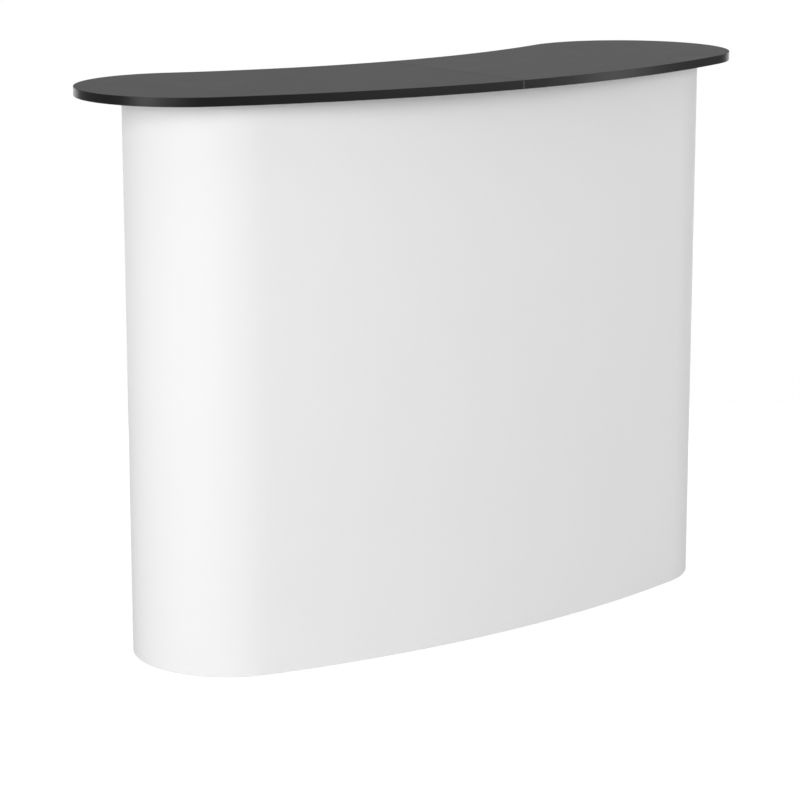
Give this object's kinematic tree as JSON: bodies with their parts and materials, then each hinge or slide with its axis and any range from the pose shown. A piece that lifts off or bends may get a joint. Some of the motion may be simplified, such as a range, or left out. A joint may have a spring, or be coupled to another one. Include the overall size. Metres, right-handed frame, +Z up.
{
  "type": "folding portable bar",
  "caption": "Portable bar with a kidney-shaped folding countertop, a white panel wrapped round the front and ends, and a scissor frame with a shelf that folds up behind it.",
  "frame": {"origin": "on the floor, under the middle of the countertop", "axes": "+X along the bar to the right half, +Y to the back where the barkeeper stands, +Z up"},
  "size_m": [1.3, 0.458, 0.945],
  "materials": {
    "countertop": "black satin film on a board",
    "wrap": "smooth white sheet",
    "shelf": "black satin film on a board",
    "aluminium": "satin anodised",
    "moulding": "black moulded plastic",
    "rubber": "black rubber",
    "strip": "dark grey strip with a magnetic face"
  },
  "bodies": {
    "centre_column": {"centre_front_post": "aluminium", "centre_front_foot": "rubber", "centre_front_hub": "moulding", "centre_rear_post": "aluminium", "centre_rear_foot": "rubber", "centre_rear_hub": "moulding", "centre_head_rail": "moulding", "centre_shelf_rail": "aluminium", "centre_front_strip": "strip", "front_peg": "aluminium", "rear_peg": "aluminium"},
    "left_column": {"left_front_post": "aluminium", "left_front_foot": "rubber", "left_front_hub": "moulding", "left_rear_post": "aluminium", "left_rear_foot": "rubber", "left_rear_hub": "moulding", "left_head_rail": "moulding", "left_shelf_rail": "aluminium", "left_front_strip": "strip", "left_rear_strip": "strip"},
    "left_outward_bars": {"left_front_outward_bar": "aluminium", "left_rear_outward_bar": "aluminium", "left_cross_rod": "aluminium"},
    "left_inward_bars": {"left_front_inward_bar": "aluminium", "left_rear_inward_bar": "aluminium"},
    "left_sliders": {"left_front_slider": "moulding", "left_rear_slider": "moulding"},
    "right_column": {"right_front_post": "aluminium", "right_front_foot": "rubber", "right_front_hub": "moulding", "right_rear_post": "aluminium", "right_rear_foot": "rubber", "right_rear_hub": "moulding", "right_head_rail": "moulding", "right_shelf_rail": "aluminium", "right_front_strip": "strip", "right_rear_strip": "strip"},
    "right_outward_bars": {"right_front_outward_bar": "aluminium", "right_rear_outward_bar": "aluminium", "right_cross_rod": "aluminium"},
    "right_inward_bars": {"right_front_inward_bar": "aluminium", "right_rear_inward_bar": "aluminium"},
    "right_sliders": {"right_front_slider": "moulding", "right_rear_slider": "moulding"},
    "centre_sliders": {"centre_front_slider": "moulding", "centre_rear_slider": "moulding"},
    "left_top_half": {"left_top": "countertop"},
    "right_top_half": {"right_top": "countertop"},
    "wrap_panel": {"wrap": "wrap"},
    "shelf_board": {"shelf": "shelf"}
  },
  "joints": [
    {"name": "frame_fold", "type": "hinge", "parent": "centre_column", "child": "left_outward_bars", "pos_m": [-0.0303, 0.00553, 0.07], "axis": [0, 1, 0], "range_deg": [0, 20.5]},
    {"name": "left_crossing_pivot", "type": "hinge", "parent": "left_outward_bars", "child": "left_inward_bars", "pos_m": [-0.195, 0.00553, 0.4202], "axis": [0, 1, 0], "range_deg": [-41, 0]},
    {"name": "left_slider_pivot", "type": "hinge", "parent": "left_outward_bars", "child": "left_sliders", "pos_m": [-0.3597, 0.00553, 0.7704], "axis": [0, 1, 0], "range_deg": [-20.5, 0]},
    {"name": "left_column_pivot", "type": "hinge", "parent": "left_inward_bars", "child": "left_column", "pos_m": [-0.3597, 0.00553, 0.07], "axis": [0, 1, 0], "range_deg": [0, 20.5]},
    {"name": "centre_slider_pivot", "type": "hinge", "parent": "left_inward_bars", "child": "centre_sliders", "pos_m": [-0.0303, 0.00553, 0.7704], "axis": [0, 1, 0], "range_deg": [0, 20.5]},
    {"name": "right_hub_pivot", "type": "hinge", "parent": "centre_column", "child": "right_outward_bars", "pos_m": [0.0303, 0.00553, 0.07], "axis": [0, -1, 0], "range_deg": [0, 20.5]},
    {"name": "right_crossing_pivot", "type": "hinge", "parent": "right_outward_bars", "child": "right_inward_bars", "pos_m": [0.195, 0.00553, 0.4202], "axis": [0, -1, 0], "range_deg": [-41, 0]},
    {"name": "right_slider_pivot", "type": "hinge", "parent": "right_outward_bars", "child": "right_sliders", "pos_m": [0.3597, 0.00553, 0.7704], "axis": [0, -1, 0], "range_deg": [-20.5, 0]},
    {"name": "right_column_pivot", "type": "hinge", "parent": "right_inward_bars", "child": "right_column", "pos_m": [0.3597, 0.00553, 0.07], "axis": [0, -1, 0], "range_deg": [0, 20.5]},
    {"name": "top_lift", "type": "slide", "parent": "centre_column", "child": "left_top_half", "axis": [0, 0, 1], "range_m": [0, 0.12]},
    {"name": "top_fold", "type": "hinge", "parent": "left_top_half", "child": "right_top_half", "pos_m": [0, 0, 0.9455], "axis": [0, -1, 0], "range_deg": [0, 180]},
    {"name": "wrap_off", "type": "slide", "parent": "centre_column", "child": "wrap_panel", "axis": [0, -1, 0], "range_m": [0, 0.25]},
    {"name": "shelf_lift", "type": "slide", "parent": "centre_column", "child": "shelf_board", "axis": [0, 0, 1], "range_m": [0, 0.15]}
  ],
  "couplings": [
    {"joint": "left_crossing_pivot", "follows": "frame_fold", "ratio": -2},
    {"joint": "left_slider_pivot", "follows": "frame_fold", "ratio": -1},
    {"joint": "left_column_pivot", "follows": "frame_fold", "ratio": 1},
    {"joint": "centre_slider_pivot", "follows": "frame_fold", "ratio": 1},
    {"joint": "right_hub_pivot", "follows": "frame_fold", "ratio": 1},
    {"joint": "right_crossing_pivot", "follows": "frame_fold", "ratio": -2},
    {"joint": "right_slider_pivot", "follows": "frame_fold", "ratio": -1},
    {"joint": "right_column_pivot", "follows": "frame_fold", "ratio": 1}
  ]
}
